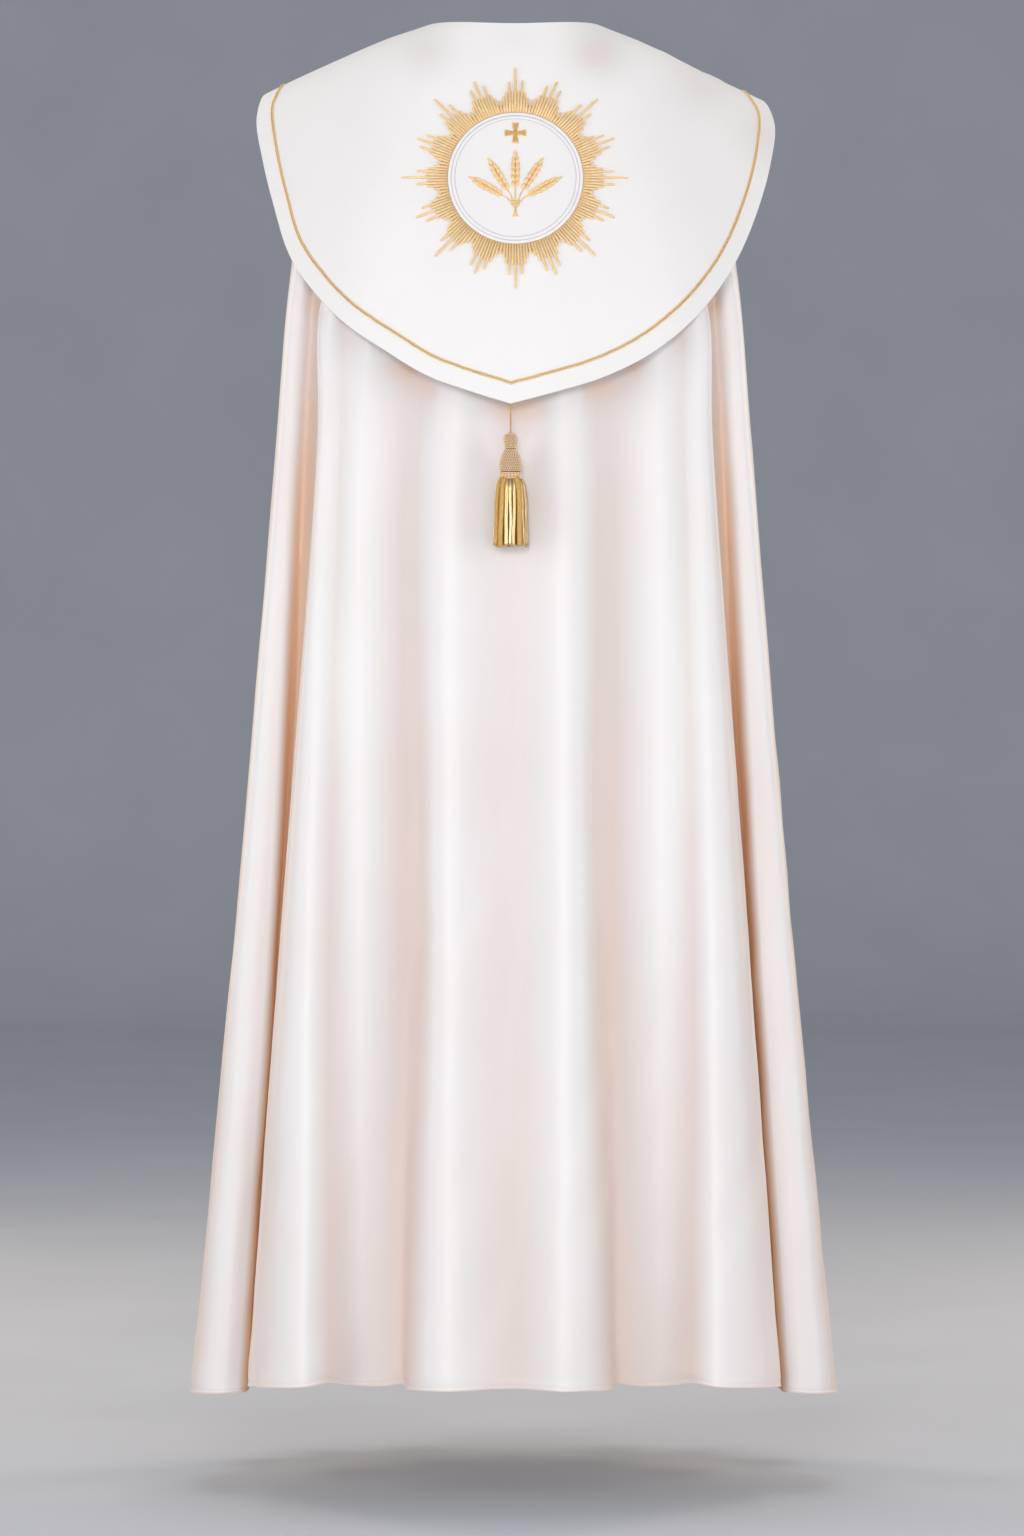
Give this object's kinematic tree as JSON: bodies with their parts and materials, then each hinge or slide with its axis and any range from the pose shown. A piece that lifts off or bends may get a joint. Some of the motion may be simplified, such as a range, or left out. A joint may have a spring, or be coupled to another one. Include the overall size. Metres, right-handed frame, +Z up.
{
  "type": "cope vestment with hood and tassel",
  "caption": "Ankle-length satin cloak worn by a priest, open at the front, with a stiff round hood on its back, edged in gold cord, that carries a gold sunburst and a tassel.",
  "frame": {"origin": "middle of the neck opening, level with where neck and shoulders carry the cope", "axes": "+Z up, +Y the way the wearer faces, +X to the wearer's right; the hood is on the -Y side"},
  "size_m": [0.7014, 0.52, 1.4977],
  "materials": {
    "satin": "satin",
    "white_satin": "satin",
    "gold_thread": "metallic thread"
  },
  "bodies": {
    "root": {"mantle_back": "satin", "mantle_left": "satin", "mantle_right": "satin", "hood_shield": "satin", "hood_border": "satin", "morse_tab": "satin", "emblem_disc": "white_satin", "emblem_ring": "white_satin", "hood_cord": "gold_thread", "emblem_rays": "gold_thread", "emblem_cross": "gold_thread", "emblem_ear_1": "gold_thread", "emblem_ear_2": "gold_thread", "emblem_ear_3": "gold_thread", "emblem_ear_4": "gold_thread", "emblem_ear_5": "gold_thread", "emblem_tie": "gold_thread", "tassel_cord": "gold_thread", "tassel_knob": "gold_thread", "tassel_bulb": "gold_thread", "tassel_collar": "gold_thread", "tassel_skirt": "gold_thread"}
  },
  "joints": []
}
